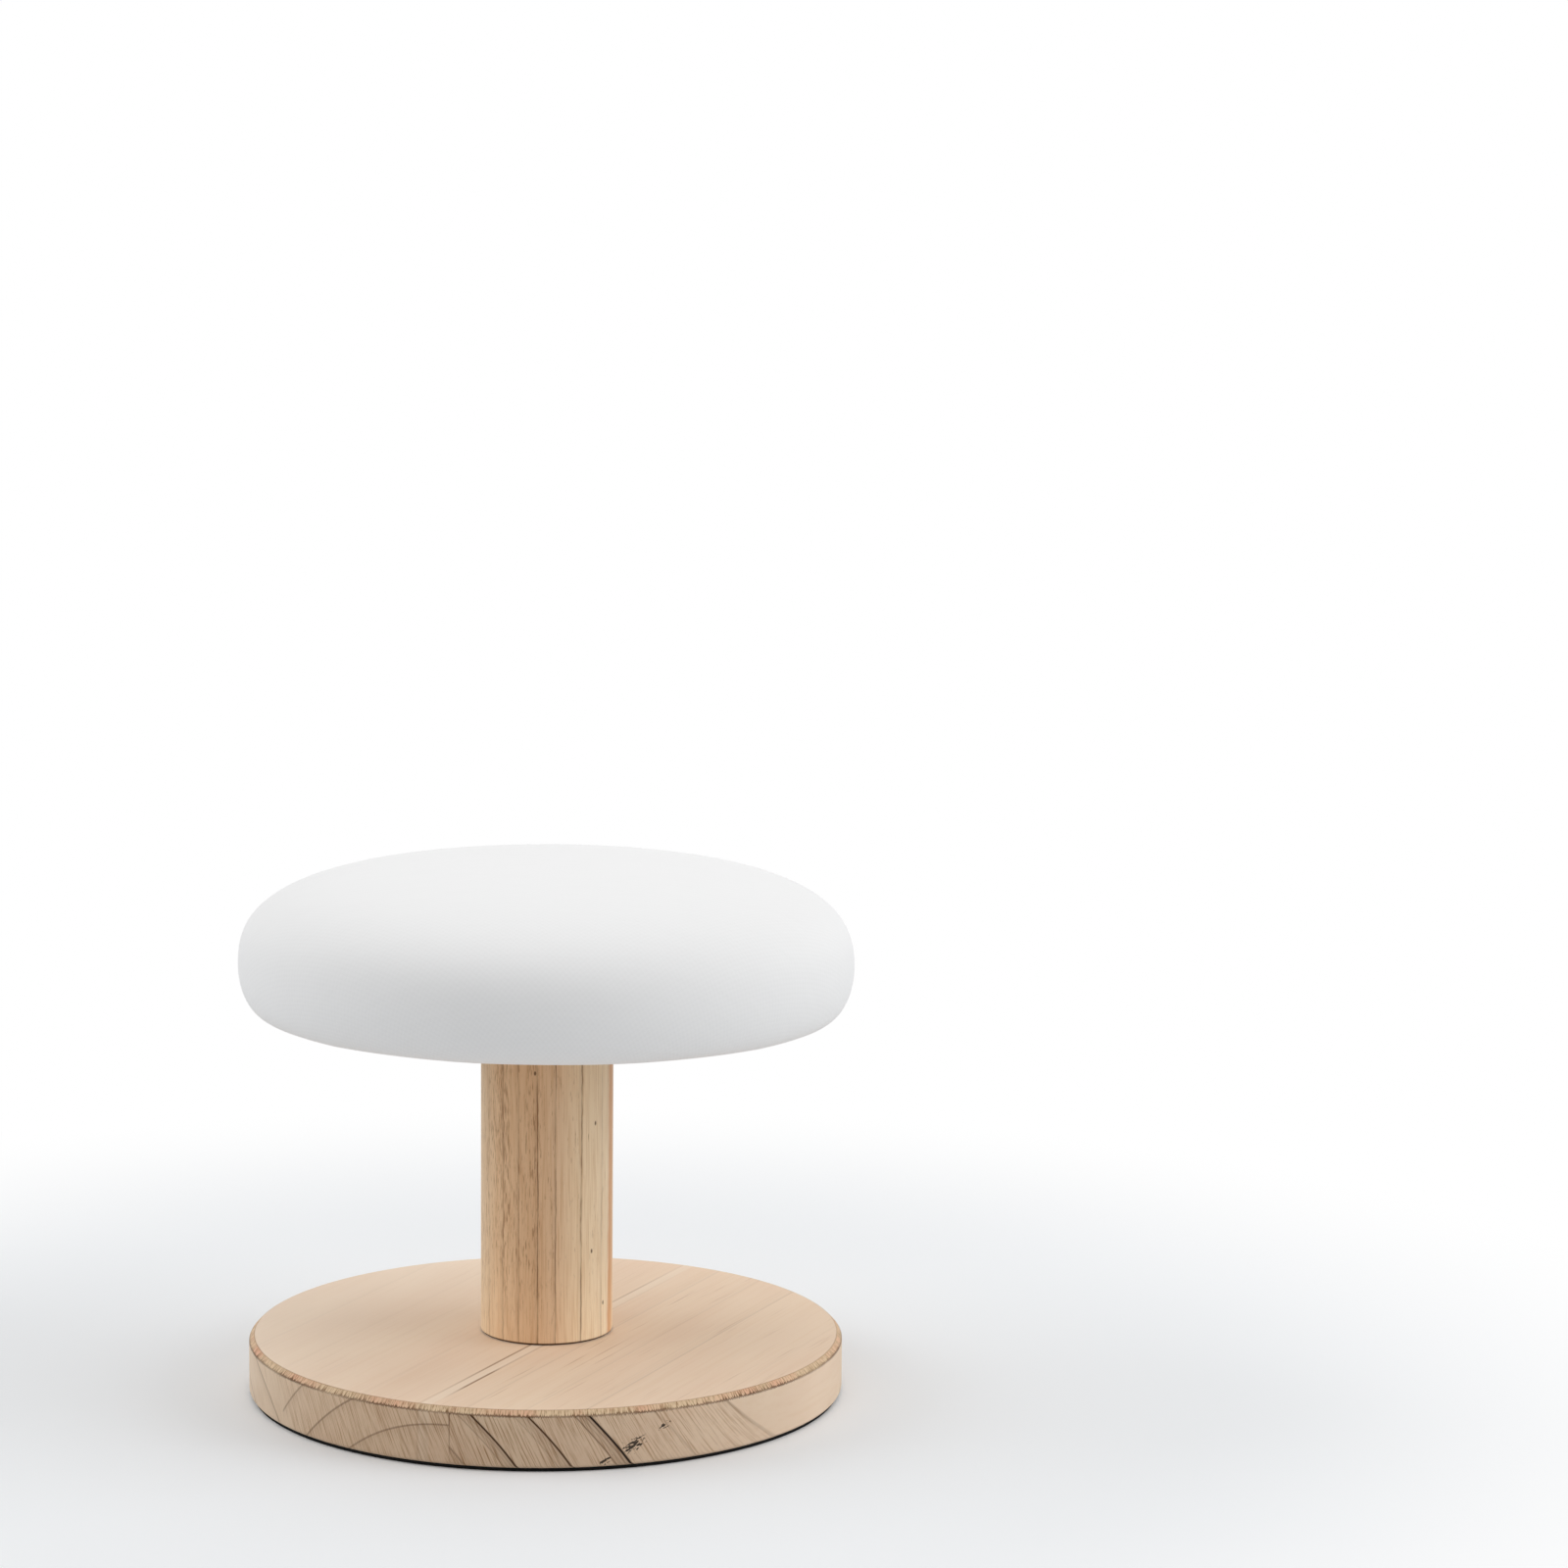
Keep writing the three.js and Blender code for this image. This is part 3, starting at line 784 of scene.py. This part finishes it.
def bark_pockets(tree, at, coloured):
    """The colour with the bark's: dark strokes that thin out away from the middle of each pocket."""
    climb = add(tree, "VectorRotate", {"Vector": at.rim, "Angle": -BARK_RISE}, rotation_type="Z_AXIS")
    stroke_place = add(tree, "Mapping", {0: climb, "Scale": (1 / 1.2, 1 / 0.5, 1)})
    stroke = add(tree, "TexNoise", {"Vector": stroke_place, "Scale": 1, "Detail": 3})
    for degrees, height, length, width in BARK:
        middle = (BASE_RADIUS * math.radians(degrees), height, 0)
        lying = {0: at.rim, "Location": middle, "Rotation": (0, 0, BARK_RISE), "Scale": (length, width, 1)}
        from_middle = add(tree, "Mapping", lying, vector_type="TEXTURE")
        off = add(tree, "VectorMath", {0: from_middle}, operation="LENGTH")
        near = add(tree, "MapRange", {0: off, 1: 1, 2: 0.2, 3: -0.25, 4: 0.11})
        thick = add(tree, "Math", {0: stroke, 1: near}, operation="ADD")
        bark = add(tree, "MapRange", {0: thick, 1: 0.53, 2: 0.57, 4: 0.92})
        coloured = add(tree, "Mix", {0: bark, 6: coloured, 7: "#150d07"}, data_type="RGBA")
    return coloured


def edge_glued_pine(tree):
    """Sanded pine glued up from staves: a smooth peach face with faint straight grain, thin growth rings
    and a fine hatch on the greyer cut ends, a strip of paler sapwood between two thin lines, a
    chamfer ticked by the cutter with a burnt line at each corner, and three pockets of bark."""
    at = board_place(tree)
    age, hatched = stave_age(tree, at)
    hatch, hatch_share = end_hatch(tree, at, age, hatched)
    coloured = pine_face(tree, at)
    coloured = sapwood_strip(tree, at, coloured)
    coloured = cut_ends(tree, at, coloured, age, hatch, hatch_share)
    coloured = routed_rim(tree, at, coloured)
    coloured = bark_pockets(tree, at, coloured)
    relief = add(tree, "Math", {0: hatch, 1: hatch_share, 2: at.noise.fibre}, operation="MULTIPLY_ADD")
    bump = add(tree, "Bump", {"Strength": 0.15, "Distance": 0.1 * MM, "Height": relief})
    matt = {"Base Color": coloured, "Roughness": 0.6, "IOR": 1.5, "Specular IOR Level": 0.2, "Normal": bump}
    return add(tree, "BsdfPrincipled", matt)


# Wood of the post
POST_PITH = (-60, -10, 0)  # the middle of its tree
POST_NEAR = 40  # its wood lies between these distances from there
POST_FAR = 80
# Growth lines: distance from the tree's middle, and how dark each is
POST_LINES = [(44.6, 0.3), (48.6, 0.5), (52.9, 0.65), (58.1, 1), (62.9, 1), (69.5, 0.95), (74.7, 0.35)]
POST_WANDER = 1.0  # a line's slow bends
POST_WAVER = 0.5  # and its quick ones
# Noise patterns: width, depth and height, and how many times finer detail is added
POST_PATTERNS = {
    "wander": ((14, 14, 50), 2),
    "waver": ((3, 3, 5), 2),
    "breaks": ((4, 4, 9), 2),
    "fibre": ((0.4, 0.4, 14), 3),
    "flecks": ((0.27, 0.27, 3.4), 2),
    "strings": ((4, 4, 55), 1),
}
# Tone by the same distance as the lines: brown towards the heart, straw outside, and one resin band. The
# palest straw, on the post's right side, is painted light
POST_TONES = [
    (42, "#fde5c3"),
    (47, "#f9d7b0"),
    (57, "#efc9a1"),
    (63, "#f5d4b0"),
    (69, "#ffe7c5"),
    (76.2, "#ffebcc"),
    (76.8, "#e4b286"),
    (77.4, "#ecbc90"),
    (78.2, "#fde4c1"),
]
POST_FOOT_RISE = 26  # height over which the post, lighter at its foot, darkens a little upwards as painted shade; its flecks grow darker over it too
PIN_KNOTS = [(-100.4, 90), (-43.5, 75.4), (-47.7, 40.7), (-32, 25.6)]  # turn from +X in degrees, height
PIN_KNOT_SIZE = (0.4, 0.4, 0.75)  # half of a pin knot's width and height
FOOT_LINE = 0.7  # height of the dark brown line round the post's foot


def dowel_flecks(tree, noise, distance, above_foot):
    """Flecks a quarter of a millimetre wide and 3 mm long, in strings, thickest on the heart side and
    fainter towards the foot."""
    heart = add(tree, "MapRange", {0: distance, 1: 70, 2: 52, 3: -0.12, 4: 0})
    thick = add(tree, "Math", {0: noise.strings, 1: 0.35, 2: noise.flecks}, operation="MULTIPLY_ADD")
    thick = add(tree, "Math", {0: thick, 1: heart}, operation="ADD")
    depth = add(tree, "MapRange", {0: above_foot, 3: 0.1, 4: 0.5})
    return add(tree, "MapRange", {0: thick, 1: 0.72, 2: 0.82, 4: depth})


def pin_knots(tree, wood):
    """How dark each pin knot is, a small oval on the post's side."""
    knots = []
    for degrees, height in PIN_KNOTS:
        turn = math.radians(degrees)
        middle = (POST_RADIUS * math.cos(turn), POST_RADIUS * math.sin(turn), height)
        oval = {0: wood, "Location": middle, "Scale": PIN_KNOT_SIZE}
        from_middle = add(tree, "Mapping", oval, vector_type="TEXTURE")
        off = add(tree, "VectorMath", {0: from_middle}, operation="LENGTH")
        knots.append(add(tree, "MapRange", {0: off, 1: 1, 2: 0.5, 4: 0.85}))
    return knots


def pine_dowel(tree):
    """Turned pine post: upright grain, thin dark growth lines that break off here and there, short dark
    flecks towards the heart side that thin out towards its foot, a few pin knots, a resin band, a dark
    brown line round its foot, painted shade above the foot, and painted light on its right side."""
    wood = place_in_mm(tree)
    noise = wood_patterns(tree, wood, POST_PATTERNS)
    _, _, up = add(tree, "SeparateXYZ", {0: wood}).outputs
    flat = add(tree, "VectorMath", {0: wood, 1: (1, 1, 0)}, operation="MULTIPLY")
    distance = add(tree, "VectorMath", {0: flat, 1: POST_PITH}, operation="DISTANCE")
    wandered = add(tree, "Math", {0: noise.wander, 1: POST_WANDER, 2: distance}, operation="MULTIPLY_ADD")
    wandered = add(tree, "Math", {0: noise.waver, 1: POST_WAVER, 2: wandered}, operation="MULTIPLY_ADD")
    span = POST_FAR - POST_NEAR
    near = POST_NEAR + (POST_WANDER + POST_WAVER) / 2
    share = add(tree, "MapRange", {0: wandered, 1: near, 2: near + span})

    # Each growth line darkens slowly, peaks 0.3 mm wide and ends sharply
    stops = []
    for radius, depth in POST_LINES:
        outline = [(-1.2, 0), (-0.22, 0.2 * depth), (-0.16, depth), (0.22, 0)]
        stops += [((radius + off - POST_NEAR) / span, level) for off, level in outline]
    lines = add(tree, "ValToRGB", {0: share}, stops=stops)
    unbroken = add(tree, "MapRange", {0: noise.breaks, 1: 0.38, 2: 0.55, 3: 0.45, 4: 1})
    line = add(tree, "Math", {0: lines, 1: unbroken}, operation="MULTIPLY")

    # painted light: the outer tones, on the post's right side, are paler to stand for the light from the
    # right
    tones = [((radius - POST_NEAR) / span, tone) for radius, tone in POST_TONES]
    coloured = add(tree, "ValToRGB", {0: share}, stops=tones)
    fibres = add(tree, "ValToRGB", {0: noise.fibre}, stops=[(0.3, "#ebe1d6"), (0.56, WHITE)])
    coloured = add(tree, "Mix", {0: 0.85, 6: coloured, 7: fibres}, data_type="RGBA", blend_type="MULTIPLY")
    above_foot = add(tree, "MapRange", {0: up, 1: POST_BOTTOM, 2: POST_BOTTOM + POST_FOOT_RISE})
    # painted shade: the post darkens a little from its foot upwards, standing in for the cushion's shade over
    # it and the light the base throws back on its foot
    painted_post_shade = add(tree, "ValToRGB", {0: above_foot}, stops=[(0, WHITE), (1, "#edebe9")])
    coloured = add(tree, "Mix", {0: 1, 6: coloured, 7: painted_post_shade}, data_type="RGBA", blend_type="MULTIPLY")
    fleck = dowel_flecks(tree, noise, distance, above_foot)
    # a dark brown line round the post's foot, where it meets the base
    foot_line = add(tree, "MapRange", {0: up, 1: POST_BOTTOM + FOOT_LINE, 2: POST_BOTTOM + FOOT_LINE / 2, 4: 0.95})
    marks = [(line, "#653810"), (fleck, "#7a4a1e")]
    marks += [(knot, "#472910") for knot in pin_knots(tree, wood)]
    for mark, tone in [*marks, (foot_line, "#43210a")]:
        coloured = add(tree, "Mix", {0: mark, 6: coloured, 7: tone}, data_type="RGBA")

    pits = add(tree, "Math", {0: fleck, 1: -0.6, 2: noise.fibre}, operation="MULTIPLY_ADD")
    bump = add(tree, "Bump", {"Strength": 0.2, "Distance": 0.1 * MM, "Height": pits})
    satin = {"Base Color": coloured, "Roughness": 0.5, "IOR": 1.5, "Specular IOR Level": 0.2, "Normal": bump}
    return add(tree, "BsdfPrincipled", satin)


THREAD = 0.9  # cotton threads are about half this apart; drawn coarser so that the weave shows close up


def cotton_canvas(tree):
    """Bleached plain-weave cotton, pulled smooth: white and matt, with an over-and-under of threads so
    fine that it only shows close up."""
    cloth = add(tree, "UVMap", uv_map="flat_cloth")
    threads = add(tree, "Mapping", {0: cloth, "Scale": (math.pi / THREAD / MM,) * 3})
    warp, weft, _ = add(tree, "SeparateXYZ", {0: threads}).outputs
    warp_wave = add(tree, "Math", {0: warp}, operation="SINE")
    weft_wave = add(tree, "Math", {0: weft}, operation="SINE")
    weave = add(tree, "Math", {0: warp_wave, 1: weft_wave}, operation="MULTIPLY")
    slub_place = add(tree, "Mapping", {0: cloth, "Scale": (1 / 14 / MM, 1 / THREAD / MM, 1)})
    slub = add(tree, "TexNoise", {"Vector": slub_place, "Scale": 1, "Detail": 3})
    height = add(tree, "Math", {0: weave, 1: 0.35, 2: slub}, operation="MULTIPLY_ADD")
    tint = add(tree, "ValToRGB", {0: height}, stops=[(0.1, "#f0f0f0"), (0.8, "#f3f3f3")])
    bump = add(tree, "Bump", {"Strength": 0.045, "Distance": 0.12 * MM, "Height": height})
    matt = {"Base Color": tint, "Roughness": 0.92, "Specular IOR Level": 0.25, "Sheen Weight": 0.05}
    return add(tree, "BsdfPrincipled", {**matt, "Normal": bump})


def cotton_felt(tree):
    """Needled cotton wadding: off-white and matt, with loose fibres in every direction."""
    felt = place_in_mm(tree)
    lumps = add(tree, "TexNoise", {"Vector": felt, "Scale": 1 / 3, "Detail": 6, "Distortion": 1.5})
    tint = add(tree, "ValToRGB", {0: lumps}, stops=[(0.3, "#d3cdbf"), (0.7, "#eeeae0")])
    bump = add(tree, "Bump", {"Strength": 0.5, "Distance": 0.4 * MM, "Height": lumps})
    return add(tree, "BsdfPrincipled", {"Base Color": tint, "Roughness": 0.97, "Normal": bump})


def open_cell_foam(tree):
    """Cut polyurethane foam: cream, matt, pitted all over by cells just under a millimetre wide."""
    foam = place_in_mm(tree)
    cells = add(tree, "TexVoronoi", {"Vector": foam, "Scale": 1 / 0.9})
    tint = add(tree, "ValToRGB", {0: cells}, stops=[(0.1, "#c9bd8e"), (0.6, "#efe6c4")])
    bump = add(tree, "Bump", {"Strength": 0.6, "Distance": 0.3 * MM, "Height": cells})
    return add(tree, "BsdfPrincipled", {"Base Color": tint, "Roughness": 0.95, "Normal": bump})


def black_rubber(tree):
    """Moulded non-slip sheet: near black, dull, with a fine pebbled face."""
    sheet = place_in_mm(tree)
    pebbles = add(tree, "TexVoronoi", {"Vector": sheet, "Scale": 1 / 1.4}, feature="SMOOTH_F1")
    tint = add(tree, "ValToRGB", {0: pebbles}, stops=[(0.1, "#161616"), (0.6, "#0c0c0c")])
    bump = add(tree, "Bump", {"Strength": 0.5, "Distance": 0.2 * MM, "Height": pebbles}, invert=True)
    dull = {"Base Color": tint, "Roughness": 0.85, "Specular IOR Level": 0.2, "Normal": bump}
    return add(tree, "BsdfPrincipled", dull)


PLY = 1.5  # thickness of one ply


def birch_plywood(tree):
    """Rotary-cut plywood: pale broad flames on the face veneer, and alternate light and dark plies."""
    board = place_in_mm(tree)
    flame_place = add(tree, "Mapping", {0: board, "Scale": (1 / 70, 1 / 9, 1 / 30)})
    flame = add(tree, "TexNoise", {"Vector": flame_place, "Scale": 1, "Detail": 5, "Distortion": 1.2})
    tint = add(tree, "ValToRGB", {0: flame}, stops=[(0.3, "#b99668"), (0.62, "#ddc69c")])
    _, _, up = add(tree, "SeparateXYZ", {0: board}).outputs
    ply = add(tree, "Math", {0: up, 1: PLY}, operation="PINGPONG")
    ply_dark = add(tree, "MapRange", {0: ply, 1: 0.7, 2: 0.8, 4: 0.35})
    coloured = add(tree, "Mix", {0: ply_dark, 6: tint, 7: "#9a7747"}, data_type="RGBA")
    bump = add(tree, "Bump", {"Strength": 0.2, "Distance": 0.1 * MM, "Height": flame})
    veneer = {"Base Color": coloured, "Roughness": 0.65, "IOR": 1.5, "Normal": bump}
    return add(tree, "BsdfPrincipled", veneer)


def zinc_plated_steel(tree):
    """Zinc-plated steel wire and screws: pale bluish grey, drawn bright with faint scuffs."""
    plate = place_in_mm(tree)
    scuffs = add(tree, "TexNoise", {"Vector": plate, "Scale": 1 / 0.6, "Detail": 4})
    tint = add(tree, "ValToRGB", {0: scuffs}, stops=[(0.3, "#a9adb3"), (0.7, "#cbced2")])
    gloss = add(tree, "MapRange", {0: scuffs, 3: 0.25, 4: 0.45})
    return add(tree, "BsdfPrincipled", {"Base Color": tint, "Roughness": gloss, "Metallic": 1})


def dress(piece, finish, slot, *nodes):
    """Gives a piece its finish, its place in the frame and the solids that it stands for."""
    piece.data.materials.append(finish)
    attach(piece, "root")
    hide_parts(*nodes)
    return piece


steel = make_finish(zinc_plated_steel)
dress(make_grip_sheet(), make_finish(black_rubber), "black_rubber", "non_slip_pad")
dress(make_base_wood(), make_finish(edge_glued_pine), "base_pine", "base_board")
dress(make_post_wood(), make_finish(pine_dowel), "post_pine", "post")
foam_dome = dress(make_foam(), make_finish(open_cell_foam), "foam", "foam_pad")
wadding_cap = dress(make_wadding(), make_finish(cotton_felt), "cotton_felt", "wadding")
cover_cloth = dress(make_cover(), make_finish(cotton_canvas), "cotton_canvas", "cover")
for number in range(1, STAPLE_COUNT + 1):
    dress(make_staple(number), steel, "zinc_steel", f"staple_{number:02d}")

plywood = make_finish(birch_plywood)
for name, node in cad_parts.items():
    node.data.materials.clear()
    node.data.materials.append(plywood if name == "top_board" else steel)

# Stage: a pale floor that goes white away from the object, and soft light from both sides, in metres
FLOOR_SIZE = 4
FLOOR_CLEAR = 0.17  # from the middle to where the floor starts to go white
FLOOR_WHITE = 0.36  # from the middle to where it is white
AMBIENT = 0.57  # strength of the room's light
# Soft boxes: place, width and watts
SOFT_BOXES = {
    "right_box": ((1.05, -0.15, 0.75), 0.9, 5.0),
    "left_box": ((-1.05, 0.15, 0.75), 0.9, 4.0),
    "top_box": ((0.1, 0.2, 1.4), 1.2, 3.0),
}


def seen_rays(tree):
    """1 for a ray that shows a surface to the eye, straight, in gloss or through glass, and 0 for one that
    only carries its light."""
    path = add(tree, "LightPath").outputs
    seen = add(tree, "Math", {0: path["Is Camera Ray"], 1: path["Is Glossy Ray"]}, operation="MAXIMUM")
    return add(tree, "Math", {0: seen, 1: path["Is Transmission Ray"]}, operation="MAXIMUM")


def pale_floor(tree):
    """Matt paint that keeps the shadow: pale to the eye, greyer where it throws light back up as a
    small table would, and seen as white light further from the object."""
    seen = seen_rays(tree)
    paint = add(tree, "Mix", {0: seen, 6: "#dcdee0", 7: "#f1f3f5"}, data_type="RGBA")
    matt = add(tree, "BsdfPrincipled", {"Base Color": paint, "Roughness": 0.9, "Specular IOR Level": 0.1})
    away = add(tree, "VectorMath", {0: add(tree, "TexCoord").outputs["Object"]}, operation="LENGTH")
    ends = {0: away, 1: FLOOR_CLEAR, 2: FLOOR_WHITE}
    white = add(tree, "MapRange", ends, interpolation_type="SMOOTHSTEP")
    share = add(tree, "Math", {0: white, 1: seen}, operation="MULTIPLY")
    glow = add(tree, "Emission", {"Color": WHITE, "Strength": 1})
    return add(tree, "MixShader", {0: share, 1: matt, 2: glow})


def make_floor():
    """A square floor under the object."""
    half = FLOOR_SIZE / 2
    corners = [(-half, -half, 0), (half, -half, 0), (half, half, 0), (-half, half, 0)]
    mesh = bpy.data.meshes.new("floor")
    mesh.from_pydata(corners, [], [(0, 1, 2, 3)])
    mesh.materials.append(make_finish(pale_floor))
    floor = bpy.data.objects.new("floor", mesh)
    bpy.context.scene.collection.objects.link(floor)


def make_soft_boxes():
    """Round soft boxes that face the middle of the object."""
    middle = Vector((0, 0, COVER_TOP * MM / 2))
    for name, (place, width, watts) in SOFT_BOXES.items():
        lamp = bpy.data.lights.new(name, "AREA")
        lamp.shape = "DISK"
        lamp.size = width
        lamp.energy = watts
        box = bpy.data.objects.new(name, lamp)
        box.location = place
        box.rotation_mode = "QUATERNION"
        box.rotation_quaternion = (middle - Vector(place)).to_track_quat("-Z", "Y")
        bpy.context.scene.collection.objects.link(box)


def make_room():
    """The even light of a white room, which is seen as white."""
    world = bpy.data.worlds.new("white_room")
    world.use_nodes = True
    tree = world.node_tree
    tree.nodes.clear()
    strength = add(tree, "MapRange", {0: seen_rays(tree), 3: AMBIENT, 4: 1})
    sky = add(tree, "Background", {"Color": WHITE, "Strength": strength})
    add(tree, "OutputWorld", {"Surface": sky})
    bpy.context.scene.world = world


make_floor()
make_soft_boxes()
make_room()
bpy.context.scene.view_settings.view_transform = "Standard"
